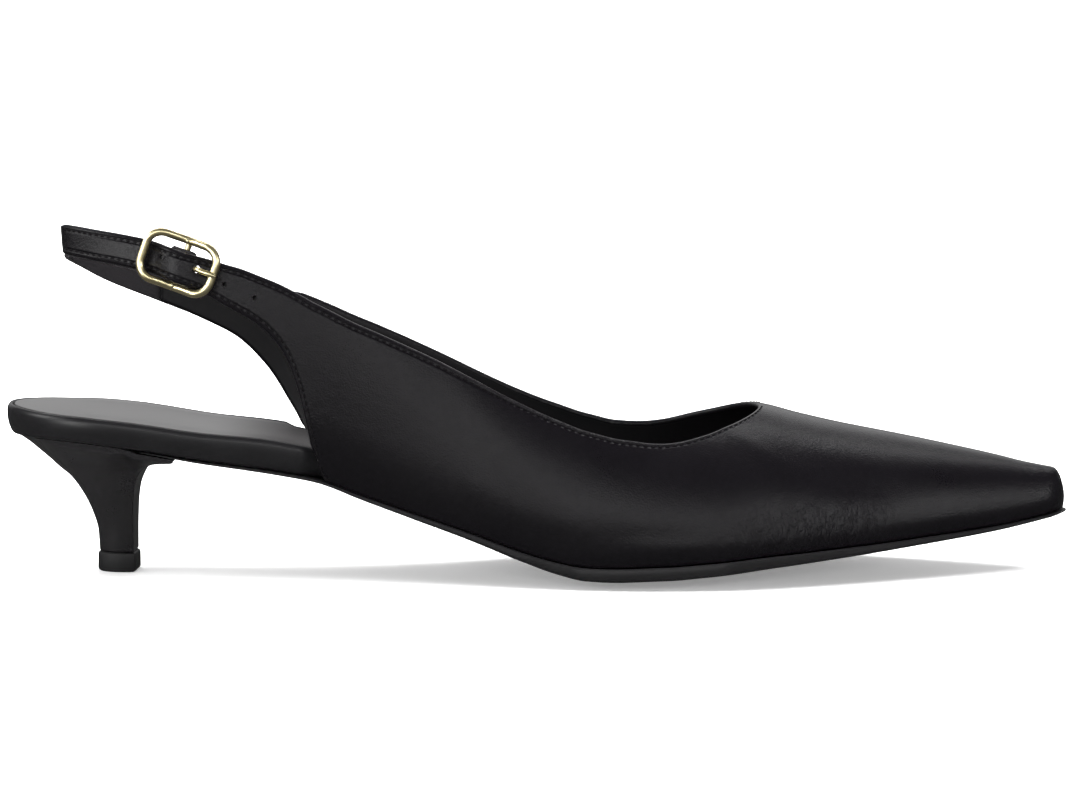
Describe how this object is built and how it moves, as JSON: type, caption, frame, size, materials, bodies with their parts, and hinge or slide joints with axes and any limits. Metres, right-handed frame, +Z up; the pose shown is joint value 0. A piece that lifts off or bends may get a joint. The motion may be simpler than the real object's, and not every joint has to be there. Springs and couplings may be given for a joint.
{
  "type": "slingback pump",
  "caption": "Right slingback pump with a pointed toe, low-cut quarters, buckled heel strap and covered kitten heel.",
  "frame": {"origin": "middle of the shoe's length and width, on the floor", "axes": "+X from the heel to the toe, -Y towards the outer side with the buckle, +Z up"},
  "size_m": [0.2628, 0.0728, 0.0867],
  "materials": {
    "upper_leather": "smooth satin",
    "sock": "smooth satin",
    "sole": "matte",
    "heel_cover": "satin",
    "top_piece_rubber": "matte",
    "gold_metal": "polished pale gold"
  },
  "bodies": {
    "root": {"upper": "upper_leather", "heel_strap": "upper_leather", "insole": "upper_leather", "sock_lining": "sock", "outsole": "sole", "heel": "heel_cover", "top_piece": "top_piece_rubber", "buckle_frame": "gold_metal", "buckle_prong": "gold_metal"}
  },
  "joints": []
}
